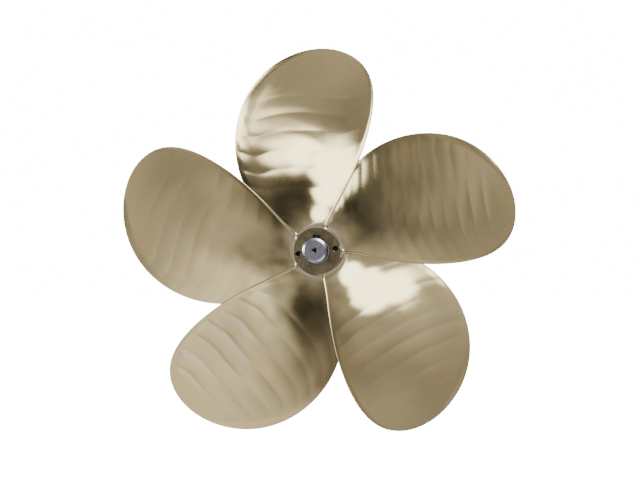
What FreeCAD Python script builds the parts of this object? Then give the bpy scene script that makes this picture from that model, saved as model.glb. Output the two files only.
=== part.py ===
"""Five-bladed left-hand bronze boat propeller on the tapered end of its tail shaft.

Frame: the shaft's axis is Y. +Y points forward, to the boat, and -Y points aft, to the
free thread. +Z runs through the key and the tip of blade 1. The origin is on the axis, at
the hub's forward face, where the shaft's taper starts. Angles are in degrees, clockwise as
seen from aft, from +Z towards +X. Lengths are in millimetres.
"""
import FreeCAD
import Part
import math
import os

Vector = FreeCAD.Vector
ORIGIN = Vector(0, 0, 0)
SHAFT_AXIS = Vector(0, 1, 0)
CROSSWISE = Vector(1, 0, 0)

# ---- Driving dimensions ----

# Whole propeller
BLADE_COUNT = 5
TIP_RADIUS = 330.2              # 26 inch diameter
PITCH = 648.0                   # advance per turn
RAKE = 0.08                     # aft lean of the blade per unit of radius

# Hub: a cone, thick end forward
HUB_LENGTH = 152.4
HUB_FORWARD_RADIUS = 44.5
HUB_AFT_RADIUS = 38.1
HUB_CHAMFER_FORWARD = 2.5
HUB_CHAMFER_AFT = 1.2
PULLER_HOLE_RADIUS = 3.97       # tapping drill for 3/8 inch screws
PULLER_HOLE_DEPTH = 24.0
PULLER_CIRCLE_RADIUS = 30.15
PULLER_HOLE_ANGLES = (81.8, 261.8)
DRILL_POINT_ANGLE = 59.0        # half of the drill's point angle

# Blade outline as seen along the shaft. x is the distance in from the tip, over the tip
# radius. The middle line is at SWEEP[0] * x + SWEEP[1] * x^2 degrees, and each edge is
# sqrt(x) * (WIDTH[0] + WIDTH[1] * x + WIDTH[2] * x^2 + WIDTH[3] * x^3) degrees from it.
SWEEP = (-28.6, 6.7)
WIDTH = (65.3, -58.5, 116.6, -96.0)
TIP_LAND = 0.0004               # x at the tip itself, so that the tip has a short land
ZERO_ANGLE = 12.67              # where the face crosses the reference plane on the axis
REFERENCE_Y = -130.4

# Blade section: flat aft face, curved forward back
ROOT_THICKNESS = 24.0           # at the hub
TIP_THICKNESS = 3.2
ROOT_X = 0.86                   # x at the hub
EDGE_THICKNESS = 2.2
ROOT_EDGE_EXTRA = 3.0           # more edge thickness at the hub
ROOT_EDGE_POWER = 4             # how fast it fades towards the tip
THICKEST_SKEW = 0.9             # moves the thickest line a little towards the leading edge
CUP_HEIGHT = 1.2                # the trailing edge curls aft
CUP_WIDTH = 8.0
CUP_CHORD_SHARE = 0.3           # most of a short chord that the cup may take
CUP_START = 0.30                # fraction of the tip radius where the cup starts
CUP_FULL = 0.45                 # and where it is at full height

# Root fillet: an arc that is tangent to the blade, and a straight slope near the hub
FILLET_RADIUS = 8.0
FILLET_STRAIGHT = 1.0           # height above the hub where the arc becomes straight
FILLET_EDGE_SHARE = 0.5         # share of the fillet at the two edges
ROOT_SINK = 5.0                 # how far the uncut blade reaches below the hub's surface

# Tail shaft: SAE J755 end for a 2 inch shaft
SHAFT_RADIUS = 25.4
TAPER_LENGTH = 146.05
TAPER_PER_RADIUS = 1 / 32       # 1 in 16 on the diameter
THREAD_RADIUS = 19.05           # 1-1/2 inch
RELIEF_RADIUS = 17.4            # run-out groove between taper and thread
RELIEF_LENGTH = 8.0
SHAFT_PROUD = 82.0              # thread end past the hub's aft face
THREAD_CHAMFER = 3.4
SHAFT_STUB = 130.0              # parallel shaft kept forward of the hub
STUB_CHAMFER = 2.0
CENTRE_RADIUS = 3.0             # centre-drilled hole
CENTRE_DEPTH = 9.0
CENTRE_CONE = 1.5               # countersink of the centre hole

# Key and its seats
KEY_SIDE = 12.7
KEY_FORWARD = -16.0             # y of the key's forward end
KEY_LENGTH = 112.0
KEY_PROUD = 5.35                # key above the taper's crest: half the key at its sides
KEY_CHAMFER = 0.6

# Fits
BORE_CLEARANCE = 0.03           # radial
KEYWAY_SIDE_CLEARANCE = 0.05
KEYWAY_TOP_CLEARANCE = 0.3

# Sampling and making of the surfaces
CHORD_STEPS = 20
SPAN_STEPS = 30
ROOT_SEARCH_STEPS = 40          # rounds of the search for the radius where the blade starts
SEWING_GAP = 0.001
CUT_OVERRUN = 1.0               # how far a cutting block runs past what it cuts


# ---- Shared helpers ----

def taper_radius(y):
    """Shaft's radius on the taper, at y."""
    return SHAFT_RADIUS + TAPER_PER_RADIUS * y


def hub_radius(y):
    """Hub's outer radius at y."""
    slope = (HUB_FORWARD_RADIUS - HUB_AFT_RADIUS) / HUB_LENGTH
    return HUB_FORWARD_RADIUS + slope * y


def turned(profile):
    """Solid of revolution about the shaft's axis from a closed list of (radius, y)."""
    corners = [Vector(radius, y, 0) for radius, y in profile]
    wire = Part.makePolygon(corners + corners[:1])
    return Part.Face(wire).revolve(ORIGIN, SHAFT_AXIS, 360)


def at_angle(radius, angle, y):
    """Point at a radius, an angle clockwise from +Z, and y."""
    turn = math.radians(angle)
    return Vector(radius * math.sin(turn), y, radius * math.cos(turn))


# ---- Blade ----

def edge_angles(radius):
    """Angles of the leading and the trailing edge at a radius, from the tip's direction."""
    x = 1 + TIP_LAND - radius / TIP_RADIUS
    middle = SWEEP[0] * x + SWEEP[1] * x ** 2
    half = math.sqrt(x) * sum(factor * x ** power for power, factor in enumerate(WIDTH))
    return middle - half, middle + half


def face_y(radius, angle):
    """y of the helical aft face."""
    return REFERENCE_Y - PITCH / 360 * (angle - ZERO_ANGLE) - RAKE * radius


def thickness(radius, along):
    """Section thickness, with along from 0 at the leading edge to 1 at the trailing edge."""
    inward = (1 - radius / TIP_RADIUS) / ROOT_X
    middle = TIP_THICKNESS + (ROOT_THICKNESS - TIP_THICKNESS) * inward
    edge = EDGE_THICKNESS + ROOT_EDGE_EXTRA * inward ** ROOT_EDGE_POWER
    skewed = along ** THICKEST_SKEW
    return edge + (middle - edge) * 4 * skewed * (1 - skewed)


def fillet(height):
    """How far the root fillet stands off the blade, at a height above the hub."""
    if height >= FILLET_RADIUS:
        return 0.0
    level = max(height, FILLET_STRAIGHT)
    across = FILLET_RADIUS - level
    rise = math.sqrt(FILLET_RADIUS ** 2 - across ** 2)
    return FILLET_RADIUS - rise + (level - height) * across / rise


def cup_height(radius, from_edge, chord):
    """How far the section is moved aft beside the trailing edge."""
    width = min(CUP_WIDTH, CUP_CHORD_SHARE * chord)
    if from_edge >= width:
        return 0.0
    ramp = (radius / TIP_RADIUS - CUP_START) / (CUP_FULL - CUP_START)
    ramp = min(max(ramp, 0.0), 1.0)
    return CUP_HEIGHT * ramp * width / CUP_WIDTH * (1 - from_edge / width) ** 2


def blade_point(radius, along, is_back):
    """Point on the aft face or on the forward back of blade 1."""
    leading, trailing = edge_angles(radius)
    angle = leading + along * (trailing - leading)
    helix = math.atan2(PITCH, 2 * math.pi * radius)
    chord = radius * math.radians(trailing - leading) / math.cos(helix)
    height = radius - hub_radius(face_y(radius, angle))
    crown = math.sqrt(max(4 * along * (1 - along), 0.0))
    side = fillet(height) * (FILLET_EDGE_SHARE + (1 - FILLET_EDGE_SHARE) * crown)
    lengthwise = fillet(height) * FILLET_EDGE_SHARE * (2 * along - 1)
    normal = -side
    if is_back:
        normal = thickness(radius, along) + side
    normal -= cup_height(radius, (1 - along) * chord, chord)
    around = lengthwise * math.cos(helix) + normal * math.sin(helix)
    aft = lengthwise * math.sin(helix) - normal * math.cos(helix)
    y = face_y(radius, angle) - aft
    return at_angle(radius, angle + math.degrees(around / radius), y)


def root_radius(along):
    """Radius at which a column of the uncut blade starts, below the hub's surface."""
    radius = HUB_AFT_RADIUS
    for _ in range(ROOT_SEARCH_STEPS):
        leading, trailing = edge_angles(radius)
        angle = leading + along * (trailing - leading)
        radius = hub_radius(face_y(radius, angle)) - ROOT_SINK
    return radius


def cosine_steps(count):
    """Values from 0 to 1, closer together at both ends."""
    return [(1 - math.cos(math.pi * step / count)) / 2 for step in range(count + 1)]


def blade_surface(is_back):
    """Smooth surface through the face or the back, from below the hub to the tip."""
    grid = []
    for along in cosine_steps(CHORD_STEPS):
        start = root_radius(along)
        radii = [start + (TIP_RADIUS - start) * step for step in cosine_steps(SPAN_STEPS)]
        grid.append([blade_point(radius, along, is_back) for radius in radii])
    surface = Part.BSplineSurface()
    surface.interpolate(grid)
    return surface


def border(surface):
    """Edges of a surface's four sides: leading, trailing, root and tip."""
    u_first, u_last, v_first, v_last = surface.bounds()
    curves = (surface.uIso(u_first), surface.uIso(u_last),
              surface.vIso(v_first), surface.vIso(v_last))
    return [curve.toShape() for curve in curves]


def uncut_blade():
    """Blade 1 as a closed solid whose root ends below the hub's surface."""
    face = blade_surface(False)
    back = blade_surface(True)
    skins = [face.toShape(), back.toShape()]
    for face_edge, back_edge in zip(border(face), border(back)):
        skins.append(Part.makeRuledSurface(face_edge, back_edge))
    shell = Part.makeShell(skins)
    shell.sewShape(SEWING_GAP)
    solid = Part.makeSolid(shell)
    if solid.Volume < 0:
        solid.reverse()
    return solid


def make_blades():
    """The blades, each meeting the hub's cone face to face."""
    cone_start = FILLET_RADIUS
    hub_cone = turned([(0, cone_start), (hub_radius(cone_start), cone_start),
                       (HUB_AFT_RADIUS, -HUB_LENGTH), (0, -HUB_LENGTH)])
    blade = uncut_blade().cut(hub_cone)
    blades = {}
    for index in range(BLADE_COUNT):
        turned_blade = blade.copy()
        turned_blade.rotate(ORIGIN, SHAFT_AXIS, 360 / BLADE_COUNT * index)
        blades["blade_%d" % (index + 1)] = turned_blade
    return blades


# ---- Hub ----

def key_block(side, bottom, top, first_y, last_y):
    """Straight bar at 12 o'clock, its floor and roof parallel to the taper.

    bottom and top are heights above the taper's surface.
    """
    half = side / 2
    corners = []
    for y, height in ((first_y, bottom), (last_y, bottom), (last_y, top), (first_y, top)):
        corners.append(Vector(-half, y, taper_radius(y) + height))
    face = Part.Face(Part.makePolygon(corners + corners[:1]))
    return face.extrude(CROSSWISE * side)


def puller_hole(angle):
    """Drilled blind hole in the hub's aft face, with its cone-shaped end."""
    drill_point = PULLER_HOLE_RADIUS / math.tan(math.radians(DRILL_POINT_ANGLE))
    mouth = at_angle(PULLER_CIRCLE_RADIUS, angle, -HUB_LENGTH)
    end = mouth + SHAFT_AXIS * PULLER_HOLE_DEPTH
    barrel = Part.makeCylinder(PULLER_HOLE_RADIUS, PULLER_HOLE_DEPTH, mouth, SHAFT_AXIS)
    point = Part.makeCone(PULLER_HOLE_RADIUS, 0, drill_point, end, SHAFT_AXIS)
    return barrel.fuse(point)


def make_hub():
    """Tapered hub with its tapered bore, through keyway and two puller holes."""
    bore_forward = taper_radius(0) + BORE_CLEARANCE
    bore_aft = taper_radius(-HUB_LENGTH) + BORE_CLEARANCE
    hub = turned([
        (bore_forward, 0),
        (HUB_FORWARD_RADIUS - HUB_CHAMFER_FORWARD, 0),
        (hub_radius(-HUB_CHAMFER_FORWARD), -HUB_CHAMFER_FORWARD),
        (hub_radius(HUB_CHAMFER_AFT - HUB_LENGTH), HUB_CHAMFER_AFT - HUB_LENGTH),
        (HUB_AFT_RADIUS - HUB_CHAMFER_AFT, -HUB_LENGTH),
        (bore_aft, -HUB_LENGTH),
    ])
    keyway = key_block(KEY_SIDE + 2 * KEYWAY_SIDE_CLEARANCE, -KEY_SIDE,
                       KEY_PROUD + KEYWAY_TOP_CLEARANCE, CUT_OVERRUN, -HUB_LENGTH - CUT_OVERRUN)
    hub = hub.cut(keyway)
    for angle in PULLER_HOLE_ANGLES:
        hub = hub.cut(puller_hole(angle))
    return hub


# ---- Shaft and key ----

def make_key():
    """Square key, half sunk in the shaft, with its two top edges broken."""
    key = key_block(KEY_SIDE, KEY_PROUD - KEY_SIDE, KEY_PROUD,
                    KEY_FORWARD, KEY_FORWARD - KEY_LENGTH)
    top_edges = [edge for edge in key.Edges if is_long_top_edge(edge)]
    return key.makeChamfer(KEY_CHAMFER, top_edges)


def is_long_top_edge(edge):
    """True for the key's two upper edges that run along the shaft."""
    middle = edge.CenterOfMass
    is_long = edge.Length > KEY_LENGTH / 2
    return is_long and middle.z > taper_radius(middle.y)


def make_shaft():
    """End of the tail shaft: stub, taper, run-out groove, thread and centre holes."""
    thread_end = -HUB_LENGTH - SHAFT_PROUD
    small_radius = taper_radius(-TAPER_LENGTH)
    relief_end = -TAPER_LENGTH - RELIEF_LENGTH
    relief_step = THREAD_RADIUS - RELIEF_RADIUS
    cone_depth = CENTRE_RADIUS + CENTRE_CONE
    shaft = turned([
        (0, SHAFT_STUB - CENTRE_DEPTH),
        (CENTRE_RADIUS, SHAFT_STUB - CENTRE_DEPTH),
        (CENTRE_RADIUS, SHAFT_STUB - CENTRE_CONE),
        (cone_depth, SHAFT_STUB),
        (SHAFT_RADIUS - STUB_CHAMFER, SHAFT_STUB),
        (SHAFT_RADIUS, SHAFT_STUB - STUB_CHAMFER),
        (SHAFT_RADIUS, 0),
        (small_radius, -TAPER_LENGTH),
        (RELIEF_RADIUS, -TAPER_LENGTH),
        (RELIEF_RADIUS, relief_end),
        (THREAD_RADIUS, relief_end - relief_step),
        (THREAD_RADIUS, thread_end + THREAD_CHAMFER),
        (THREAD_RADIUS - THREAD_CHAMFER, thread_end),
        (cone_depth, thread_end),
        (CENTRE_RADIUS, thread_end + CENTRE_CONE),
        (CENTRE_RADIUS, thread_end + CENTRE_DEPTH),
        (0, thread_end + CENTRE_DEPTH),
    ])
    key_seat = key_block(KEY_SIDE, KEY_PROUD - KEY_SIDE, KEY_PROUD,
                         KEY_FORWARD, KEY_FORWARD - KEY_LENGTH)
    return shaft.cut(key_seat)


def main():
    """Write one STEP file per node."""
    os.makedirs("parts", exist_ok=True)
    nodes = {"tail_shaft": make_shaft(), "shaft_key": make_key(), "hub": make_hub()}
    nodes.update(make_blades())
    for name, shape in nodes.items():
        shape.exportStep("parts/%s.step" % name)
        box = shape.BoundBox
        print(name, "valid", shape.isValid(), "solids", len(shape.Solids),
              "volume %.0f mm3" % shape.Volume,
              "y %.1f to %.1f" % (box.YMin, box.YMax))


main()
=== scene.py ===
"""Looks of the five-bladed bronze boat propeller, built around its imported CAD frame.

Metres. The shaft's axis is Y, with -Y aft, and angles run clockwise as seen from aft, from +Z
towards +X. Blades and hub are one hand-ground bronze casting. The shaft end is turned steel.
"""
import math

import bmesh
import bpy
import numpy as np
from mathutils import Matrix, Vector


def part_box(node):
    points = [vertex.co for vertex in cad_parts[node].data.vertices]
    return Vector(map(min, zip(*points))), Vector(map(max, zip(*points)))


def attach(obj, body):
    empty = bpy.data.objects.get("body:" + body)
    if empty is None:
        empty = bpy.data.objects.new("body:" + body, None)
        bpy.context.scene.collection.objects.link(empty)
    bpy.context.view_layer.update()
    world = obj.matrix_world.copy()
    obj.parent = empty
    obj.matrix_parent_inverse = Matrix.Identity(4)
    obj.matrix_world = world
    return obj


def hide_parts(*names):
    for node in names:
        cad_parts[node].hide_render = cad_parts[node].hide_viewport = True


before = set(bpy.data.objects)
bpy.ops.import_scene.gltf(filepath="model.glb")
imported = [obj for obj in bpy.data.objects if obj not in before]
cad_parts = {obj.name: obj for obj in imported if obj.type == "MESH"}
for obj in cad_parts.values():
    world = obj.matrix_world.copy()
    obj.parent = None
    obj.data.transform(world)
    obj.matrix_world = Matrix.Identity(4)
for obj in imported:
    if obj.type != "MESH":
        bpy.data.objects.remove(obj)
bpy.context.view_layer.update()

MM = 0.001

# ---- Sizes from the frame ----

TIP_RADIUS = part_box("blade_1")[1].z
HUB_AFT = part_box("hub")[0].y
SHAFT_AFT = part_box("tail_shaft")[0].y
SHAFT_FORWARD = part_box("tail_shaft")[1].y
SHAFT_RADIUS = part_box("tail_shaft")[1].x
KEY_LOW, KEY_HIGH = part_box("shaft_key")

# ---- The propeller's shape, as in the CAD model ----

BLADE_COUNT = 5
PITCH = 648.0 * MM
RAKE = 0.08
HUB_FORWARD_RADIUS = 44.5 * MM
HUB_AFT_RADIUS = 38.1 * MM
HUB_CHAMFER_FORWARD = 2.5 * MM
HUB_CHAMFER_AFT = 1.2 * MM
BORE_CLEARANCE = 0.03 * MM
PULLER_HOLE_RADIUS = 3.97 * MM
PULLER_HOLE_DEPTH = 24.0 * MM
PULLER_CIRCLE_RADIUS = 30.15 * MM
PULLER_HOLE_ANGLES = (81.8, 261.8)
SWEEP = (-28.6, 6.7)                    # middle line in degrees, by x, the distance from the tip
WIDTH = (65.3, -58.5, 116.6, -96.0)     # half width in degrees, by x, times the root of x
ZERO_ANGLE = math.radians(12.67)
REFERENCE_Y = -130.4 * MM
ROOT_THICKNESS = 24.0 * MM
TIP_THICKNESS = 3.2 * MM
ROOT_X = 0.86
EDGE_THICKNESS = 2.2 * MM
ROOT_EDGE_EXTRA = 3.0 * MM
ROOT_EDGE_POWER = 4
THICKEST_SKEW = 0.9
CUP_HEIGHT = 0.8 * MM           # less than as cast, after grinding
CUP_WIDTH = 8.0 * MM
CUP_CHORD_SHARE = 0.3
CUP_START = 0.30
CUP_FULL = 0.45
FILLET_RADIUS = 8.0 * MM
FILLET_LEADING_SHARE = 0.6      # fillet's size at the leading edge
RELIEF_WIDTH = 42.0 * MM        # the leading edge is eased forward, most at the very edge
RELIEF_CHORD_SHARE = 0.4
RELIEF_START = (0.30, 0.50)     # fractions of the tip radius between which it begins

TAPER_PER_RADIUS = 1 / 32
TAPER_LENGTH = 146.05 * MM
THREAD_RADIUS = 19.05 * MM
THREAD_PITCH = 25.4 / 6 * MM
THREAD_DEPTH = 2.5 * MM
THREAD_CHAMFER = 3.4 * MM
RELIEF_RADIUS = 17.4 * MM
RELIEF_LENGTH = 8.0 * MM
STUB_CHAMFER = 2.0 * MM
CENTRE_RADIUS = 3.0 * MM
CENTRE_DEPTH = 9.0 * MM
CENTRE_CONE = 1.5 * MM
KEY_SIDE = 12.7 * MM
KEY_PROUD = 5.35 * MM
KEYWAY_CLEARANCE = 0.3 * MM
KEYWAY_SIDE_CLEARANCE = 0.05 * MM

# Small details that only the visual model has
EDGE_BREAK = 0.5 * MM
KEYWAY_ROUND = 1.0 * MM
PULLER_COUNTERSINK = 0.7 * MM
DRILL_POINT_ANGLE = 59.0
THREAD_FLAT = 0.12              # share of half a pitch that each crest and root is flat
KEY_SEAT_GAP = 0.02 * MM
HUB_FLANK_STEPS = 24

# Sampling
CHORD_STEPS = 110
SPAN_STEPS = 210
FILLET_STEPS = 12
ROOT_SINK = 0.08 * MM           # the fillet's foot lies just under the hub's surface
ROOT_PLUG = 4.0 * MM            # and the blade's closed end lies deeper
TURNED_SEGMENTS = 160
RINGS_PER_THREAD = 14
ROOT_PASSES = 40                # rounds of the search for the blade's root on the hub
MERGE_DISTANCE = 1e-6
SMALLEST_WIDTH = 1e-6           # keep a width and an area from being zero
SMALLEST_AREA = 1e-12
SHARP_ANGLE = 32


# ---- Mesh helpers ----

def mesh_object(name, points, faces):
    """New smooth mesh object from lists of points and of corner numbers."""
    mesh = bpy.data.meshes.new(name)
    mesh.from_pydata([tuple(point) for point in points], [], faces)
    mesh.update()
    mesh.polygons.foreach_set("use_smooth", [True] * len(mesh.polygons))
    made = bpy.data.objects.new(name, mesh)
    bpy.context.scene.collection.objects.link(made)
    return made


def ring_faces(rings, count):
    """Quads between successive closed rings of count points."""
    faces = []
    for ring in range(rings - 1):
        for step in range(count):
            after = (step + 1) % count
            below, above = ring * count, (ring + 1) * count
            faces.append((below + step, below + after, above + after, above + step))
    return faces


def cosine_steps(count):
    """Values from 0 to 1, closer together at both ends."""
    return (1 - np.cos(np.linspace(0, math.pi, count + 1))) / 2


def around_axis(radius, angle, y):
    """Points at a radius, an angle clockwise from +Z, and y."""
    flat = np.zeros(np.broadcast(radius, angle, y).shape)
    return np.stack([radius * np.sin(angle), y + flat, radius * np.cos(angle)], axis=-1)


def closed_rings(name, rings, centre=(0, 0, 0)):
    """Solid from rings of points, whose last ring joins the first one or both end on the axis."""
    count, segments = rings.shape[:2]
    points = (rings + np.array(centre)).reshape(-1, 3)
    faces = ring_faces(count, segments)
    last = (count - 1) * segments
    for step in range(segments):
        after = (step + 1) % segments
        faces.append((last + step, last + after, after, step))
    made = mesh_object(name, points, faces)
    tidy_mesh(made)
    return made


def tidy_mesh(made):
    """Merge points that coincide, drop faces with no area and turn all faces outward."""
    shape = bmesh.new()
    shape.from_mesh(made.data)
    bmesh.ops.remove_doubles(shape, verts=shape.verts, dist=MERGE_DISTANCE)
    bmesh.ops.dissolve_degenerate(shape, edges=shape.edges, dist=MERGE_DISTANCE)
    flat = [face for face in shape.faces if face.calc_area() < MERGE_DISTANCE ** 2]
    bmesh.ops.delete(shape, geom=flat, context="FACES")
    bmesh.ops.recalc_face_normals(shape, faces=shape.faces)
    shape.to_mesh(made.data)
    shape.free()


def turned(name, profile, centre=(0, 0, 0)):
    """Solid of revolution from a closed list of (radius, y)."""
    radius, y = np.array(profile).T
    angle = np.linspace(0, 2 * math.pi, TURNED_SEGMENTS, endpoint=False)[None, :]
    return closed_rings(name, around_axis(radius[:, None], angle, y[:, None]), centre)


def taper_bar(name, outline, first_y, last_y):
    """Straight bar at 12 o'clock from an outline of (x, height above the taper)."""
    rings = []
    for y in (first_y, last_y):
        rings.append([(x, y, taper_radius(y) + height) for x, height in outline])
    count = len(outline)
    faces = ring_faces(2, count)
    faces.append(tuple(range(count - 1, -1, -1)))
    faces.append(tuple(range(count, 2 * count)))
    made = mesh_object(name, rings[0] + rings[1], faces)
    tidy_mesh(made)
    return made


def cut_away(target, cutters):
    """Cut closed shapes out of a piece, and remove them."""
    for cutter in cutters:
        modifier = target.modifiers.new("cut", "BOOLEAN")
        modifier.operation = "DIFFERENCE"
        modifier.solver = "EXACT"
        modifier.object = cutter
    evaluated = target.evaluated_get(bpy.context.evaluated_depsgraph_get())
    result = bpy.data.meshes.new_from_object(evaluated)
    target.modifiers.clear()
    target.data = result
    for cutter in cutters:
        bpy.data.objects.remove(cutter)


def sharpen(made):
    """Smooth shading, with the corners between machined faces kept sharp."""
    made.data.polygons.foreach_set("use_smooth", [True] * len(made.data.polygons))
    made.data.set_sharp_from_angle(angle=math.radians(SHARP_ANGLE))


# ---- Camera ----

CAMERA_AZIMUTH = 2.256
CAMERA_ELEVATION = -0.889
CAMERA_DISTANCE = 6 * TIP_RADIUS
CAMERA_LENS = 68.5
CAMERA_SHIFT = (0.0045, 0.0177)
SENSOR_WIDTH = 36.0


def direction(azimuth, elevation):
    """Unit vector from the propeller; azimuth 0 is straight aft and 90 is to the right."""
    azimuth, elevation = math.radians(azimuth), math.radians(elevation)
    return Vector((math.sin(azimuth) * math.cos(elevation),
                   -math.cos(azimuth) * math.cos(elevation),
                   math.sin(elevation)))


def make_camera():
    """Camera almost straight behind the propeller, a little to the right and below."""
    back = direction(CAMERA_AZIMUTH, CAMERA_ELEVATION)
    data = bpy.data.cameras.new("camera")
    data.lens = CAMERA_LENS
    data.sensor_width = SENSOR_WIDTH
    data.shift_x, data.shift_y = CAMERA_SHIFT
    camera = bpy.data.objects.new("camera", data)
    camera.location = Vector((0, REFERENCE_Y, 0)) + back * CAMERA_DISTANCE
    camera.rotation_mode = "QUATERNION"
    camera.rotation_quaternion = (-back).to_track_quat("-Z", "Y")
    bpy.context.scene.collection.objects.link(camera)
    bpy.context.scene.camera = camera


# ---- Blades ----

def hub_radius(y):
    """Hub's outer radius at y."""
    return HUB_FORWARD_RADIUS - (HUB_FORWARD_RADIUS - HUB_AFT_RADIUS) / HUB_AFT * y


def edge_angles(radius):
    """Angles of the leading and the trailing edge, from the blade's tip."""
    x = np.maximum(1 - radius / TIP_RADIUS, 0)
    middle = SWEEP[0] * x + SWEEP[1] * x ** 2
    half = np.sqrt(x) * sum(factor * x ** power for power, factor in enumerate(WIDTH))
    return np.radians(middle - half), np.radians(middle + half)


def face_y(radius, angle):
    """y of the helical aft face."""
    return REFERENCE_Y - PITCH / (2 * math.pi) * (angle - ZERO_ANGLE) - RAKE * radius


def edge_thickness(radius):
    """Section thickness at its two edges."""
    inward = (1 - radius / TIP_RADIUS) / ROOT_X
    return EDGE_THICKNESS + ROOT_EDGE_EXTRA * inward ** ROOT_EDGE_POWER


def thickness(radius, along):
    """Section thickness, with along from 0 at the leading edge to 1 at the trailing edge."""
    inward = (1 - radius / TIP_RADIUS) / ROOT_X
    middle = TIP_THICKNESS + (ROOT_THICKNESS - TIP_THICKNESS) * inward
    edge = edge_thickness(radius)
    skewed = along ** THICKEST_SKEW
    return edge + (middle - edge) * 4 * skewed * (1 - skewed)


def cup(radius, from_edge, chord):
    """How far the section is moved aft beside the trailing edge."""
    width = np.maximum(np.minimum(CUP_WIDTH, CUP_CHORD_SHARE * chord), SMALLEST_WIDTH)
    ramp = np.clip((radius / TIP_RADIUS - CUP_START) / (CUP_FULL - CUP_START), 0, 1)
    inside = np.clip(1 - from_edge / width, 0, 1)
    return CUP_HEIGHT * ramp * width / CUP_WIDTH * inside ** 2


def relief(radius, from_edge, chord, slope):
    """How far grinding eased the section forward beside the leading edge."""
    width = np.maximum(np.minimum(RELIEF_WIDTH, RELIEF_CHORD_SHARE * chord), SMALLEST_WIDTH)
    ramp = smooth_ramp(radius / TIP_RADIUS, *RELIEF_START)
    inside = np.clip(1 - from_edge / width, 0, 1)
    return slope * width / 2 * ramp * inside ** 2


# Hand-ground scallops on each blade, clockwise from the top one. Spacing, offset, depth, reach
# up the blade and hook at its two edges are in mm. slant and bow, in 1/m, turn and bend the
# scallops, and fade is how much shallower they are at the trailing edge. middle and edge say
# where and how strongly the painted highlight and painted shade at their edges show, and ease
# is the slope at the eased leading edge.
GRINDING = (
    dict(spacing=28.5, slant=0.04, bow=0.9, offset=7, depth=0.80, fade=0.8, reach=262, hook=22,
         middle=0.35, edge=0.30, ease=0.16),
    dict(spacing=23.0, slant=0.18, bow=0.8, offset=6, depth=0.42, fade=0.5, reach=300, hook=14,
         middle=0.65, edge=1.10, ease=0.12),
    dict(spacing=26.0, slant=0.20, bow=0.4, offset=3, depth=0.22, fade=0.2, reach=285, hook=8,
         middle=0.60, edge=0.40, ease=0.07),
    dict(spacing=31.0, slant=0.36, bow=-0.2, offset=18, depth=0.20, fade=-3.0, reach=300, hook=20,
         middle=0.85, edge=0.70, ease=0.10),
    dict(spacing=29.0, slant=0.15, bow=0.3, offset=12, depth=0.24, fade=0.3, reach=300, hook=15,
         middle=0.50, edge=0.12, ease=0.10),
)
PAINTED_HIGHLIGHT_WIDTH = 8.0 * MM     # painted highlight on one side of each scallop's edge
PAINTED_SHADE_WIDTH = 4.0 * MM      # and painted shade on the other
EDGE_TURN = 2.5 * MM            # with the turn between the two on either side of it
EDGE_REACH = (0.15, 0.50)       # share of the section over which an edge fades out
EDGE_SHIFT = 0.15               # how far, as such a share, the edges' middles differ
WANDER_ACROSS = 5.0 * MM        # scallops wander by this much, in waves of this length
WANDER_ACROSS_LENGTH = 38 * MM
WANDER_UP = 4.0 * MM
WANDER_UP_LENGTH = 47 * MM
HOOK_TRAILING = (0.78, 1.05)    # shares of the section over which they hook at its edges
HOOK_LEADING = (0.22, -0.05)
MEAN_DEPTH = 0.85               # share of the full depth, and how much it varies
DEPTH_BY_STROKE = 0.35
DEPTH_ALONG_STROKE = 0.30
DEPTH_WAVE_LENGTH = 45 * MM
REACH_PAST = 12 * MM            # the last scallops fade out from below to past the reach
REACH_BELOW = 25 * MM
GROUND_FROM_OUTLINE = (2 * MM, 14 * MM)     # distance over which they begin at the outline
GROUND_FROM_ROOT = (62 * MM, 95 * MM)       # and the radii over which they begin at the root
BACK_SHARE = 0.4                # depth on the back, as a share of that on the face


def scallops(radius, angle, along, blade):
    """Shallow scallops that grinding left across a blade: their height, 0 or less, and the painted
    highlight and painted shade at their edges.

    The plain factors of blade and stroke only keep them from repeating.
    """
    cut = GRINDING[blade]
    spacing = cut["spacing"] * MM
    up = radius * np.cos(angle)
    across = radius * np.sin(angle)
    wander = WANDER_ACROSS * np.sin(across / WANDER_ACROSS_LENGTH + 1.3 * blade)
    wander = wander + WANDER_UP * np.sin(up / WANDER_UP_LENGTH + 2.1 * blade)
    hooks = smooth_ramp(along, *HOOK_TRAILING) + smooth_ramp(along, *HOOK_LEADING)
    hooks = cut["hook"] * MM * hooks
    place = up + cut["slant"] * across + cut["bow"] * across ** 2
    place = place + wander - hooks + cut["offset"] * MM
    phase = np.mod(place / spacing, 1.0)
    stroke = np.floor(place / spacing)
    uneven = MEAN_DEPTH + DEPTH_BY_STROKE * np.sin(2.3 * stroke + 1.7 * blade)
    uneven = uneven * (1 + DEPTH_ALONG_STROKE * np.cos(across / DEPTH_WAVE_LENGTH + stroke))
    uneven = uneven * (1 - cut["fade"] * along)
    reach = cut["reach"] * MM
    uneven = uneven * smooth_ramp(radius, reach + REACH_PAST, reach - REACH_BELOW)
    # The edge value is painted light: a painted highlight just past each scallop's edge and painted
    # shade just before it
    light = np.exp(-phase * spacing / PAINTED_HIGHLIGHT_WIDTH)
    dark = np.exp(-(1 - phase) * spacing / PAINTED_SHADE_WIDTH)
    middle = cut["middle"] + EDGE_SHIFT * np.sin(4.1 * stroke + blade)
    shown = 1 - smooth_ramp(np.abs(along - middle), *EDGE_REACH)
    crisp = smooth_ramp(np.minimum(phase, 1 - phase) * spacing, 0, EDGE_TURN)
    edge = cut["edge"] * uneven * shown * crisp * (light - dark)
    return cut["depth"] * MM * uneven * 4 * phase * (phase - 1), edge


def smooth_ramp(value, start, end):
    """0 before start, 1 after end, smooth between."""
    share = np.clip((value - start) / (end - start), 0, 1)
    return share * share * (3 - 2 * share)


def root_radii(along):
    """Radius at which each column of the blade meets the hub."""
    radius = np.full_like(along, HUB_AFT_RADIUS)
    for _ in range(ROOT_PASSES):
        leading, trailing = edge_angles(radius)
        radius = hub_radius(face_y(radius, leading + along * (trailing - leading)))
    return radius


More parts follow.
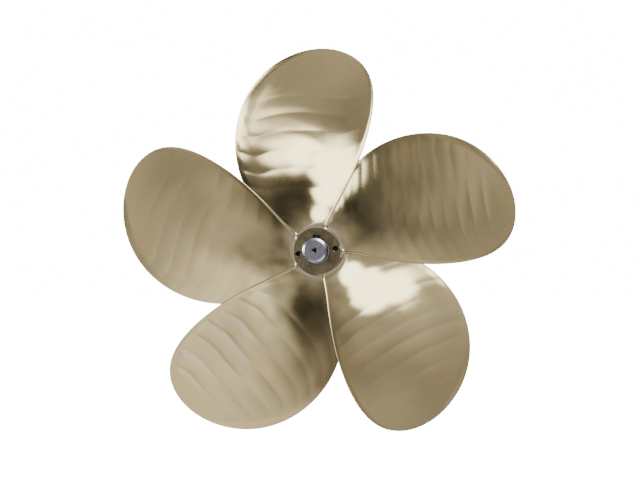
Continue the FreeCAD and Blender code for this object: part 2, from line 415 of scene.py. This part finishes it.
def span_grid(along):
    """Radius and fillet size over the blade, one row per value of along.

    The first two columns lie under the hub's surface, the next ones follow the root fillet's
    arc, and the rest close up towards the tip.
    """
    start = root_radii(along)
    fillet = FILLET_RADIUS * (1 - (1 - FILLET_LEADING_SHARE) * (1 - along) ** 3)
    turn = np.linspace(0, math.pi / 2, FILLET_STEPS + 1)[None, :]
    plug = start - ROOT_PLUG
    foot = start - ROOT_SINK
    arc = start + fillet * (1 - np.cos(turn))
    above = start + fillet
    reach = 1 - (1 - np.linspace(0, 1, SPAN_STEPS + 1)[1:]) ** 2
    radius = np.concatenate([plug, foot, arc[:, 1:], above + (TIP_RADIUS - above) * reach], axis=1)
    size = fillet * (1 - np.sin(turn))
    beyond = np.zeros((len(along), SPAN_STEPS))
    return radius, np.concatenate([fillet, size, beyond], axis=1)


def blade_skins(blade):
    """Two grids, face and back, of x, y, z and the painted highlight and shade at the scallops'
    edges, that share their end columns.
    """
    along = cosine_steps(CHORD_STEPS)[:, None]
    radius, fillet_size = span_grid(along)
    leading, trailing = edge_angles(radius)
    angle = leading + along * (trailing - leading)
    helix = np.arctan2(PITCH, 2 * math.pi * radius)
    chord = radius * (trailing - leading) / np.cos(helix)
    edge_gap = np.minimum(along, 1 - along)
    tip_gap = (TIP_RADIUS - radius) * 4 * along * (1 - along)
    flat_gap = edge_gap * chord
    gap = flat_gap * tip_gap / np.sqrt(flat_gap ** 2 + tip_gap ** 2 + SMALLEST_AREA)
    half_edge = edge_thickness(radius) / 2
    inward = np.clip(1 - gap / half_edge, 0, 1)
    bulge = np.sqrt(1 - inward ** 2)
    deep = thickness(radius, along)
    curl = cup(radius, (1 - along) * chord, chord)
    curl = curl - relief(radius, along * chord, chord, GRINDING[blade]["ease"])
    side = np.sign(along - 0.5)
    lengthwise = side * fillet_size * inward
    # edge is the painted highlight and shade for the colour, not part of the shape
    ground, edge = scallops(radius, angle, along, blade)
    reached = smooth_ramp(gap, *GROUND_FROM_OUTLINE) * smooth_ramp(radius, *GROUND_FROM_ROOT)
    ground = ground * reached
    edge = edge * reached
    stand_off = (half_edge + fillet_size) * bulge
    skins = []
    for is_back in (False, True):
        if is_back:
            normal = deep - half_edge + stand_off - curl - BACK_SHARE * ground
        else:
            normal = half_edge - stand_off - curl + ground
        around = lengthwise * np.cos(helix) + normal * np.sin(helix)
        aft = lengthwise * np.sin(helix) - normal * np.cos(helix)
        moved = angle + around / radius
        x, y, z = radius * np.sin(moved), face_y(radius, angle) - aft, radius * np.cos(moved)
        skins.append(np.stack([x, y, z, edge], axis=-1))
    return skins


def add_grain_and_painted_light(made, points, edges):
    """Store where each point is along and up the blade, and the painted highlight and shade at its
    scallop edges, for the material.
    """
    x, y, z = points.T
    radius = np.hypot(x, z)
    grain = np.stack([radius * np.arctan2(x, z), radius, y], axis=-1)
    layer = made.data.attributes.new("grain", "FLOAT_VECTOR", "POINT")
    layer.data.foreach_set("vector", grain.astype(np.float32).ravel())
    layer = made.data.attributes.new("scallop_painted_light", "FLOAT", "POINT")
    layer.data.foreach_set("value", edges.astype(np.float32))


def make_blade(blade, material):
    """One blade as a closed mesh, rings of points from the root to the tip."""
    face, back = blade_skins(blade)
    ring = np.concatenate([face, back[-2:0:-1]], axis=0)
    turn = 2 * math.pi / BLADE_COUNT * blade
    spin = np.array([[math.cos(turn), 0, -math.sin(turn)], [0, 1, 0],
                     [math.sin(turn), 0, math.cos(turn)]])
    rings = ring.transpose(1, 0, 2)[:-1]
    count = rings.shape[1]
    tip = (face[CHORD_STEPS // 2, -1] + back[CHORD_STEPS // 2, -1]) / 2
    values = np.concatenate([rings.reshape(-1, 4), tip[None, :]], axis=0)
    points = values[:, :3]
    faces = ring_faces(len(rings), count)
    last = (len(rings) - 1) * count
    faces += [(last + step, last + (step + 1) % count, len(points) - 1) for step in range(count)]
    end_face = tuple(range(count - 1, -1, -1))
    faces.append(end_face)      # flat, deep in the hub, and across the keyway on the top blade
    made = mesh_object("ground_blade_%d" % (blade + 1), points @ spin, faces)
    made.data.materials.append(material)
    add_grain_and_painted_light(made, points, values[:, 3])
    made.visible_glossy = False
    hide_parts("blade_%d" % (blade + 1))
    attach(made, "propeller")
    return made


# ---- Hub ----

def taper_radius(y):
    """Shaft's radius on the taper, at y."""
    return SHAFT_RADIUS + TAPER_PER_RADIUS * y


def rounded_corner(radius, y, cut_radius, cut_y, steps=4):
    """Points (radius, y) along a quarter ellipse in place of a corner of a turned profile."""
    corner = []
    for turn in np.linspace(0, math.pi / 2, steps + 1):
        corner.append((radius - cut_radius * (1 - math.cos(turn)),
                       y - cut_y * (1 - math.sin(turn))))
    return corner


def hub_profile():
    """Hub's turned section, from the bore's forward edge round to its aft edge."""
    profile = [(taper_radius(0) + BORE_CLEARANCE + EDGE_BREAK, 0)]
    corner_y = -HUB_CHAMFER_FORWARD
    forward = rounded_corner(hub_radius(corner_y), 0, HUB_CHAMFER_FORWARD, HUB_CHAMFER_FORWARD)
    profile += forward[::-1]
    for y in np.linspace(corner_y, HUB_AFT + HUB_CHAMFER_AFT, HUB_FLANK_STEPS + 1)[1:-1]:
        profile.append((hub_radius(y), y))
    profile += rounded_corner(hub_radius(HUB_AFT + HUB_CHAMFER_AFT), HUB_AFT,
                              HUB_CHAMFER_AFT, -HUB_CHAMFER_AFT)
    profile.append((taper_radius(HUB_AFT) + BORE_CLEARANCE + EDGE_BREAK, HUB_AFT))
    profile.append((taper_radius(HUB_AFT) + BORE_CLEARANCE, HUB_AFT + EDGE_BREAK))
    profile.append((taper_radius(0) + BORE_CLEARANCE, -EDGE_BREAK))
    return profile


def keyway_outline():
    """Keyway's outline, with small rounds in its two upper corners."""
    half = KEY_SIDE / 2 + KEYWAY_SIDE_CLEARANCE
    top = KEY_PROUD + KEYWAY_CLEARANCE
    round_off = rounded_corner(half, top, KEYWAY_ROUND, KEYWAY_ROUND)
    right = [(half, -KEY_SIDE)] + round_off
    return right + [(-x, height) for x, height in right[::-1]]


def puller_hole(angle):
    """Cutter for one drilled hole in the aft face, with a small countersink."""
    drill_point = PULLER_HOLE_RADIUS / math.tan(math.radians(DRILL_POINT_ANGLE))
    mouth = PULLER_HOLE_RADIUS + PULLER_COUNTERSINK
    profile = [(0, -MM), (mouth + MM, -MM), (mouth, 0), (PULLER_HOLE_RADIUS, PULLER_COUNTERSINK)]
    profile += [(PULLER_HOLE_RADIUS, PULLER_HOLE_DEPTH), (0, PULLER_HOLE_DEPTH + drill_point)]
    turn = math.radians(angle)
    centre = (PULLER_CIRCLE_RADIUS * math.sin(turn), HUB_AFT,
              PULLER_CIRCLE_RADIUS * math.cos(turn))
    return turned("puller_hole_cutter", profile, centre)


def make_hub(flank_material, machined_material):
    """Hub with its bore, keyway and puller holes: dull outside with painted shade, machined inside and
    aft.
    """
    hub = turned("turned_hub", hub_profile())
    hub.data.materials.append(machined_material)
    hub.data.materials.append(flank_material)
    for face in hub.data.polygons:
        x, y, z = face.center
        is_flank = HUB_AFT + HUB_CHAMFER_AFT < y < 0 and math.hypot(x, z) > hub_radius(y) - MM
        face.material_index = 1 if is_flank else 0
    keyway = taper_bar("keyway_cutter", keyway_outline(), MM, HUB_AFT - MM)
    cut_away(hub, [keyway] + [puller_hole(angle) for angle in PULLER_HOLE_ANGLES])
    sharpen(hub)
    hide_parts("hub")
    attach(hub, "propeller")


# ---- Tail shaft ----

def thread_radius(y, angle):
    """Radius of the right-hand thread's surface, with flats on its crests and roots."""
    phase = np.mod(y / THREAD_PITCH - angle / (2 * math.pi), 1.0)
    slope = np.abs(2 * phase - 1)
    groove = np.clip((slope - THREAD_FLAT) / (1 - 2 * THREAD_FLAT), 0, 1)
    return THREAD_RADIUS - THREAD_DEPTH * groove


def shaft_rings():
    """Rings of points down the shaft's whole outside, from its forward to its aft centre hole."""
    cone = CENTRE_RADIUS + CENTRE_CONE
    small = taper_radius(-TAPER_LENGTH)
    relief_end = -TAPER_LENGTH - RELIEF_LENGTH
    start = [(0, SHAFT_FORWARD - CENTRE_DEPTH), (CENTRE_RADIUS, SHAFT_FORWARD - CENTRE_DEPTH),
             (CENTRE_RADIUS, SHAFT_FORWARD - CENTRE_CONE), (cone, SHAFT_FORWARD),
             (SHAFT_RADIUS - STUB_CHAMFER, SHAFT_FORWARD),
             (SHAFT_RADIUS, SHAFT_FORWARD - STUB_CHAMFER), (SHAFT_RADIUS, 0),
             (small, -TAPER_LENGTH + EDGE_BREAK), (small - EDGE_BREAK, -TAPER_LENGTH),
             (RELIEF_RADIUS, -TAPER_LENGTH), (RELIEF_RADIUS, relief_end)]
    end = [(cone, SHAFT_AFT), (CENTRE_RADIUS, SHAFT_AFT + CENTRE_CONE),
           (CENTRE_RADIUS, SHAFT_AFT + CENTRE_DEPTH), (0, SHAFT_AFT + CENTRE_DEPTH)]
    angle = np.linspace(0, 2 * math.pi, TURNED_SEGMENTS, endpoint=False)[None, :]
    length = relief_end - SHAFT_AFT
    steps = int(length / THREAD_PITCH * RINGS_PER_THREAD)
    y = np.linspace(relief_end, SHAFT_AFT, steps)[:, None]
    cap = np.minimum(THREAD_RADIUS - THREAD_CHAMFER + y - SHAFT_AFT, RELIEF_RADIUS + relief_end - y)
    lead_in = smooth_ramp(y, SHAFT_AFT + THREAD_CHAMFER, SHAFT_AFT + THREAD_CHAMFER + MM)
    grooved = THREAD_RADIUS - (THREAD_RADIUS - thread_radius(y, angle)) * lead_in
    threaded = around_axis(np.minimum(grooved, cap), angle, y)
    parts = []
    for profile in (start, end):
        radius, place = np.array(profile).T
        parts.append(around_axis(radius[:, None], angle, place[:, None]))
    return np.concatenate([parts[0], threaded, parts[1]], axis=0)


def make_shaft(material):
    """Threaded and tapered shaft end, with its key seat."""
    shaft = closed_rings("turned_tail_shaft", shaft_rings())
    half = KEY_SIDE / 2 + KEY_SEAT_GAP
    floor = KEY_PROUD - KEY_SIDE - KEY_SEAT_GAP
    outline = [(-half, floor), (half, floor), (half, KEY_PROUD), (-half, KEY_PROUD)]
    seat = taper_bar("key_seat_cutter", outline, KEY_HIGH.y + KEY_SEAT_GAP,
                     KEY_LOW.y - KEY_SEAT_GAP)
    shaft.data.materials.append(material)
    cut_away(shaft, [seat])
    sharpen(shaft)
    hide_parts("tail_shaft")
    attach(shaft, "shaft")


# ---- Materials ----

BRONZE = (0.645, 0.52, 0.27)
BRONZE_WARM = (0.68, 0.525, 0.26)
BRONZE_SPECK = (0.36, 0.27, 0.15)
# Painted highlight and painted shade, mixed into the colour along the scallops' edges
SCALLOP_PAINTED_HIGHLIGHT = (0.86, 0.76, 0.50)
SCALLOP_PAINTED_SHADE = (0.22, 0.17, 0.09)
SCALLOP_SHARE = 0.5             # of either colour at a scallop's edge, at most
# Hub's outside: dull bronze darkened as painted shade between the blade roots, and an edge tint that
# dims its reflections as painted shade
FLANK_TINT_PAINTED_SHADE = (0.55, 0.45, 0.33, 1)
FLANK_DULL_AND_PAINTED_SHADE = (0.46, 0.36, 0.20)
FLANK_STAIN = (0.28, 0.20, 0.11)
MACHINED = (0.24, 0.193, 0.112)
MACHINED_STAIN = (0.14, 0.116, 0.07)
MACHINED_RUST = (0.20, 0.10, 0.06)
STEEL = (0.74, 0.73, 0.76)
STEEL_STAIN = (0.66, 0.65, 0.69)
STEEL_FACE = (0.29, 0.285, 0.32)
STEEL_FACE_STAIN = (0.22, 0.217, 0.25)
# The thread's colour: painted shade, near black
THREAD_PAINTED_SHADE = (0.06, 0.055, 0.05)
# Key steel, darkened as painted shade of the keyway it lies in
KEY_STEEL_AND_PAINTED_SHADE = (0.22, 0.21, 0.20)
KEY_STEEL_DARK_AND_PAINTED_SHADE = (0.13, 0.12, 0.12)
MIX_COLOURS = (6, 7)            # sockets of the Mix node that take and give colours
MIX_RESULT = 2


class Nodes:
    """Small helper that adds and links nodes in one material or world."""

    def __init__(self, tree):
        self.tree = tree

    def add(self, kind, **settings):
        node = self.tree.nodes.new(kind)
        for name, value in settings.items():
            setattr(node, name, value)
        return node

    def link(self, source, target):
        self.tree.links.new(source, target)

    def math(self, operation, first, second=0.0):
        node = self.add("ShaderNodeMath", operation=operation)
        for socket, value in zip(node.inputs, (first, second)):
            if isinstance(value, bpy.types.NodeSocket):
                self.link(value, socket)
            else:
                socket.default_value = value
        return node.outputs[0]


def new_material(name, roughness):
    """Metal material and its node helper and shader."""
    material = bpy.data.materials.new(name)
    material.use_nodes = True
    nodes = Nodes(material.node_tree)
    shader = material.node_tree.nodes["Principled BSDF"]
    shader.inputs["Metallic"].default_value = 1.0
    shader.inputs["Roughness"].default_value = roughness
    return material, nodes, shader


def noise(nodes, vector, scale, detail=3.0, roughness=0.5):
    """Noise value, with features of about 1 / scale metres."""
    node = nodes.add("ShaderNodeTexNoise")
    nodes.link(vector, node.inputs["Vector"])
    node.inputs["Scale"].default_value = scale
    node.inputs["Detail"].default_value = detail
    node.inputs["Roughness"].default_value = roughness
    return node.outputs["Fac"]


def stretched(nodes, vector, factors):
    """Vector with its three parts scaled apart, which draws noise out into streaks."""
    node = nodes.add("ShaderNodeVectorMath", operation="MULTIPLY")
    nodes.link(vector, node.inputs[0])
    node.inputs[1].default_value = factors
    return node.outputs["Vector"]


def spread(nodes, value, low, high, to_low, to_high):
    """Value moved from one range to another and held inside it."""
    node = nodes.add("ShaderNodeMapRange")
    nodes.link(value, node.inputs["Value"])
    node.inputs["From Min"].default_value = low
    node.inputs["From Max"].default_value = high
    node.inputs["To Min"].default_value = to_low
    node.inputs["To Max"].default_value = to_high
    return node.outputs["Result"]


def blended(nodes, factor, first, second):
    """Colour mixed between two, each a plain colour or another colour output."""
    node = nodes.add("ShaderNodeMix", data_type="RGBA")
    nodes.link(factor, node.inputs["Factor"])
    for index, colour in zip(MIX_COLOURS, (first, second)):
        socket = node.inputs[index]
        if isinstance(colour, bpy.types.NodeSocket):
            nodes.link(colour, socket)
        else:
            socket.default_value = (*colour, 1)
    return node.outputs[MIX_RESULT]


def bump(nodes, height, distance, strength=1.0, under=None):
    """Bumped normal, on top of another one if given."""
    node = nodes.add("ShaderNodeBump")
    nodes.link(height, node.inputs["Height"])
    node.inputs["Distance"].default_value = distance
    node.inputs["Strength"].default_value = strength
    if under is not None:
        nodes.link(under, node.inputs["Normal"])
    return node.outputs["Normal"]


def distance_from_axis(nodes):
    """Distance of the shaded point from the shaft's axis."""
    place = nodes.add("ShaderNodeTexCoord").outputs["Object"]
    length = nodes.add("ShaderNodeVectorMath", operation="LENGTH")
    nodes.link(stretched(nodes, place, (1, 0, 1)), length.inputs[0])
    return place, length.outputs["Value"]


def tool_marks(nodes, radius, scale):
    """Uneven concentric tool marks, from 0 to 1."""
    node = nodes.add("ShaderNodeTexNoise", noise_dimensions="1D")
    nodes.link(radius, node.inputs["W"])
    node.inputs["Scale"].default_value = scale
    node.inputs["Detail"].default_value = 2.0
    return node.outputs["Fac"]


def bronze_material():
    """Hand-ground and polished bronze: satin, with fine strokes, a faint uneven tarnish, and a
    painted highlight and painted shade along the scallops' edges.
    """
    material, nodes, shader = new_material("ground_bronze", 0.2)
    grain = nodes.add("ShaderNodeAttribute", attribute_name="grain").outputs["Vector"]
    place = nodes.add("ShaderNodeTexCoord").outputs["Object"]
    cloud = spread(nodes, noise(nodes, place, scale=22, detail=4), 0.35, 0.65, 0, 1)
    speck = spread(nodes, noise(nodes, place, scale=420, detail=2), 0.62, 0.74, 0, 0.35)
    strokes = noise(nodes, stretched(nodes, grain, (60, 900, 60)), scale=1.0, detail=2)
    colour = blended(nodes, cloud, BRONZE, BRONZE_WARM)
    colour = blended(nodes, speck, colour, BRONZE_SPECK)
    # Painted highlight and painted shade along the scallops' edges
    edge = nodes.add("ShaderNodeAttribute", attribute_name="scallop_painted_light").outputs["Fac"]
    colour = blended(nodes, spread(nodes, edge, 0, 1, 0, SCALLOP_SHARE), colour, SCALLOP_PAINTED_HIGHLIGHT)
    colour = blended(nodes, spread(nodes, edge, 0, -1, 0, SCALLOP_SHARE), colour, SCALLOP_PAINTED_SHADE)
    nodes.link(colour, shader.inputs["Base Color"])
    rough = nodes.math("ADD", spread(nodes, cloud, 0, 1, 0.10, 0.13),
                       spread(nodes, strokes, 0.3, 0.7, 0, 0.05))
    nodes.link(rough, shader.inputs["Roughness"])
    nodes.link(bump(nodes, strokes, distance=0.00004, strength=0.6), shader.inputs["Normal"])
    return material


def flank_material():
    """Hub's outside: duller bronze, darkened as painted shade between the blade roots, and with
    uneven brownish stains.
    """
    material, nodes, shader = new_material("dull_bronze_and_painted_shade", 0.4)
    # Darker edge tint: painted shade on the flank's reflections
    shader.inputs["Specular Tint"].default_value = FLANK_TINT_PAINTED_SHADE
    place = nodes.add("ShaderNodeTexCoord").outputs["Object"]
    stain = spread(nodes, noise(nodes, place, scale=60, detail=5, roughness=0.6), 0.38, 0.66, 0, 1)
    colour = blended(nodes, stain, FLANK_DULL_AND_PAINTED_SHADE, FLANK_STAIN)
    nodes.link(colour, shader.inputs["Base Color"])
    nodes.link(spread(nodes, stain, 0, 1, 0.30, 0.46), shader.inputs["Roughness"])
    pits = noise(nodes, place, scale=900, detail=3)
    nodes.link(bump(nodes, pits, distance=0.00012, strength=0.5), shader.inputs["Normal"])
    return material


def machined_material():
    """Faced and bored bronze: concentric tool marks under a dark olive tarnish."""
    material, nodes, shader = new_material("machined_bronze", 0.4)
    place, radius = distance_from_axis(nodes)
    marks = tool_marks(nodes, radius, 1400)
    stain = spread(nodes, noise(nodes, place, scale=75, detail=5, roughness=0.6), 0.40, 0.62, 0, 1)
    rust = spread(nodes, noise(nodes, place, scale=130, detail=3), 0.60, 0.74, 0, 0.7)
    colour = blended(nodes, stain, MACHINED, MACHINED_STAIN)
    colour = blended(nodes, rust, colour, MACHINED_RUST)
    nodes.link(colour, shader.inputs["Base Color"])
    rough = nodes.math("ADD", spread(nodes, stain, 0, 1, 0.34, 0.46),
                       spread(nodes, marks, 0.3, 0.7, -0.05, 0.05))
    nodes.link(rough, shader.inputs["Roughness"])
    nodes.link(bump(nodes, marks, distance=0.00005, strength=0.8), shader.inputs["Normal"])
    return material


def steel_material():
    """Turned shaft steel: grey with a violet cast, and the thread painted near black as its shade."""
    material, nodes, shader = new_material("turned_steel", 0.3)
    place, radius = distance_from_axis(nodes)
    marks = tool_marks(nodes, radius, 1100)
    along = noise(nodes, stretched(nodes, place, (12, 2600, 12)), scale=1.0, detail=2)
    stain = spread(nodes, noise(nodes, place, scale=120, detail=5, roughness=0.6), 0.38, 0.64, 0, 1)
    parts = nodes.add("ShaderNodeSeparateXYZ")
    nodes.link(place, parts.inputs["Vector"])
    y = parts.outputs["Y"]
    thread_aft = SHAFT_AFT + THREAD_CHAMFER
    in_thread = nodes.math("MULTIPLY", nodes.math("GREATER_THAN", y, thread_aft),
                           nodes.math("LESS_THAN", y, -TAPER_LENGTH))
    on_face = nodes.math("LESS_THAN", radius, THREAD_RADIUS - THREAD_CHAMFER)
    colour = blended(nodes, stain, STEEL, STEEL_STAIN)
    face = blended(nodes, stain, STEEL_FACE, STEEL_FACE_STAIN)
    colour = blended(nodes, on_face, colour, face)
    # Painted shade: the thread is coloured near black
    colour = blended(nodes, in_thread, colour, THREAD_PAINTED_SHADE)
    nodes.link(colour, shader.inputs["Base Color"])
    rough = nodes.math("ADD", spread(nodes, stain, 0, 1, 0.24, 0.34),
                       nodes.math("MULTIPLY", in_thread, 0.2))
    nodes.link(rough, shader.inputs["Roughness"])
    normal = bump(nodes, along, distance=0.00002, strength=0.5)
    nodes.link(bump(nodes, marks, distance=0.00005, strength=0.8, under=normal), shader.inputs["Normal"])
    return material


def key_material():
    """Drawn key steel with fine lines along its length, darkened as painted shade of its keyway."""
    material, nodes, shader = new_material("drawn_key_steel", 0.4)
    place = nodes.add("ShaderNodeTexCoord").outputs["Object"]
    lines = noise(nodes, stretched(nodes, place, (3000, 40, 3000)), scale=1.0, detail=2)
    cloud = noise(nodes, place, scale=90, detail=4)
    # Painted shade: the key is coloured dark to stand for its keyway's shade
    colour = blended(nodes, cloud, KEY_STEEL_AND_PAINTED_SHADE, KEY_STEEL_DARK_AND_PAINTED_SHADE)
    nodes.link(colour, shader.inputs["Base Color"])
    nodes.link(spread(nodes, lines, 0.3, 0.7, 0.32, 0.48), shader.inputs["Roughness"])
    nodes.link(bump(nodes, lines, distance=0.00003, strength=0.6), shader.inputs["Normal"])
    return material


# ---- Light and floor ----

FLOOR_DROP = 0.25
FLOOR_HALF = 20.0
BACKDROP_STRENGTH = 16.0
BASE_LIGHT = 0.09
FILL_COLOUR = (0.80, 0.80, 0.80)
LAMP_COLOUR = (0.73, 0.775, 0.80)
UNEVEN_SCALE = 3.6              # the surroundings' light and dark patches, per unit of direction
UNEVEN_NOISE = (0.32, 0.68)
UNEVEN_RANGE = (0.76, 1.28)
LAMP_STRENGTHS = (1, 6)         # from fill light's colour to lamp light's
FLOOR_COLOUR = (0.9, 0.9, 0.9, 1)
FLOOR_ROUGHNESS = 0.8

# Soft lamps seen in the metal: azimuth as seen from aft (0 right, 90 up), angle from straight
# aft, radius and softness, all in degrees, and strength
LAMPS = (
    # tall soft box on the left, with a low wing
    (169, 77, 16, 3, 9.0),
    (171, 98, 13, 3, 9.0),
    (176, 120, 11, 3, 8.0),
    (191, 66, 9, 3, 9.0),
    (202, 62, 7, 3, 7.0),
    (197, 53, 7, 3, 1.6),
    (207, 45, 7, 3, 4.5),
    # tall soft box on the upper right
    (58, 90, 19, 3, 9.0),
    (71, 72, 11, 2, 9.0),
    (60, 114, 16, 4, 9.0),
)
# Softer and dimmer light, in the same terms, whose brightness is uneven
FILLS = (
    # from aft, brightest in the middle
    (0, 0, 60, 30, 0.4),
    (0, 0, 35, 20, 0.3),
    # pale cards low on the right, a large one and a smaller one further forward
    (310, 60, 30, 10, 1.0),
    (310, 95, 20, 10, 0.6),
    # dimmer cards low on the left, and round the soft box on the upper right
    (265, 75, 30, 15, 0.5),
    (60, 90, 40, 15, 0.5),
    # a little from above
    (110, 70, 30, 15, 0.1),
    # ahead of the propeller, for the blades' backs
    (0, 180, 60, 25, 0.5),
)


def lobe(nodes, ray, azimuth, polar, radius, softness):
    """Soft round patch in the world's light, 1 inside and 0 outside."""
    azimuth, polar = math.radians(azimuth), math.radians(polar)
    centre = (math.sin(polar) * math.cos(azimuth), -math.cos(polar),
              math.sin(polar) * math.sin(azimuth))
    dot = nodes.add("ShaderNodeVectorMath", operation="DOT_PRODUCT")
    nodes.link(ray, dot.inputs[0])
    dot.inputs[1].default_value = centre
    ramp = nodes.add("ShaderNodeMapRange", interpolation_type="SMOOTHSTEP")
    nodes.link(dot.outputs["Value"], ramp.inputs["Value"])
    ramp.inputs["From Min"].default_value = math.cos(math.radians(radius + softness))
    ramp.inputs["From Max"].default_value = math.cos(math.radians(max(radius - softness, 0)))
    return ramp.outputs["Result"]


def patches(nodes, ray, table, light, operation):
    """Light joined with every patch of a table."""
    for azimuth, polar, radius, softness, strength in table:
        patch = lobe(nodes, ray, azimuth, polar, radius, softness)
        light = nodes.math(operation, nodes.math("MULTIPLY", patch, strength), light)
    return light


def make_world():
    """White backdrop for the camera, and a soft studio for the metal."""
    world = bpy.data.worlds.new("studio")
    bpy.context.scene.world = world
    world.use_nodes = True
    world.node_tree.nodes.clear()
    nodes = Nodes(world.node_tree)
    ray = nodes.add("ShaderNodeTexCoord").outputs["Generated"]
    clouds = noise(nodes, ray, scale=UNEVEN_SCALE, detail=1)
    uneven = spread(nodes, clouds, *UNEVEN_NOISE, *UNEVEN_RANGE)
    fill = nodes.math("MULTIPLY", patches(nodes, ray, FILLS, BASE_LIGHT, "ADD"), uneven)
    light = patches(nodes, ray, LAMPS, fill, "MAXIMUM")
    studio = nodes.add("ShaderNodeBackground")
    lamp_share = spread(nodes, light, *LAMP_STRENGTHS, 0, 1)
    nodes.link(blended(nodes, lamp_share, FILL_COLOUR, LAMP_COLOUR), studio.inputs["Color"])
    nodes.link(light, studio.inputs["Strength"])
    backdrop = nodes.add("ShaderNodeBackground")
    backdrop.inputs["Color"].default_value = (1, 1, 1, 1)
    backdrop.inputs["Strength"].default_value = BACKDROP_STRENGTH
    path = nodes.add("ShaderNodeLightPath")
    mix = nodes.add("ShaderNodeMixShader")
    nodes.link(path.outputs["Is Camera Ray"], mix.inputs["Fac"])
    nodes.link(studio.outputs[0], mix.inputs[1])
    nodes.link(backdrop.outputs[0], mix.inputs[2])
    output = nodes.add("ShaderNodeOutputWorld")
    nodes.link(mix.outputs[0], output.inputs["Surface"])


def make_floor():
    """Plain white floor, lit as evenly as the backdrop, and out of the metal's reflections."""
    height = -TIP_RADIUS - FLOOR_DROP
    corners = [(-FLOOR_HALF, -FLOOR_HALF, height), (FLOOR_HALF, -FLOOR_HALF, height),
               (FLOOR_HALF, FLOOR_HALF, height), (-FLOOR_HALF, FLOOR_HALF, height)]
    floor = mesh_object("studio_floor", corners, [(0, 1, 2, 3)])
    material = bpy.data.materials.new("white_floor")
    material.use_nodes = True
    shader = material.node_tree.nodes["Principled BSDF"]
    shader.inputs["Base Color"].default_value = FLOOR_COLOUR
    shader.inputs["Roughness"].default_value = FLOOR_ROUGHNESS
    shader.inputs["Emission Color"].default_value = (1, 1, 1, 1)
    shader.inputs["Emission Strength"].default_value = BACKDROP_STRENGTH
    floor.data.materials.append(material)
    floor.visible_glossy = False
    floor.visible_diffuse = False
    floor.visible_transmission = False
    floor.visible_shadow = False


make_camera()
make_world()
make_floor()
bronze = bronze_material()
for index in range(BLADE_COUNT):
    make_blade(index, bronze)
make_hub(flank_material(), machined_material())
make_shaft(steel_material())
key_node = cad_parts["shaft_key"]
key_node.data.materials.clear()
key_node.data.materials.append(key_material())
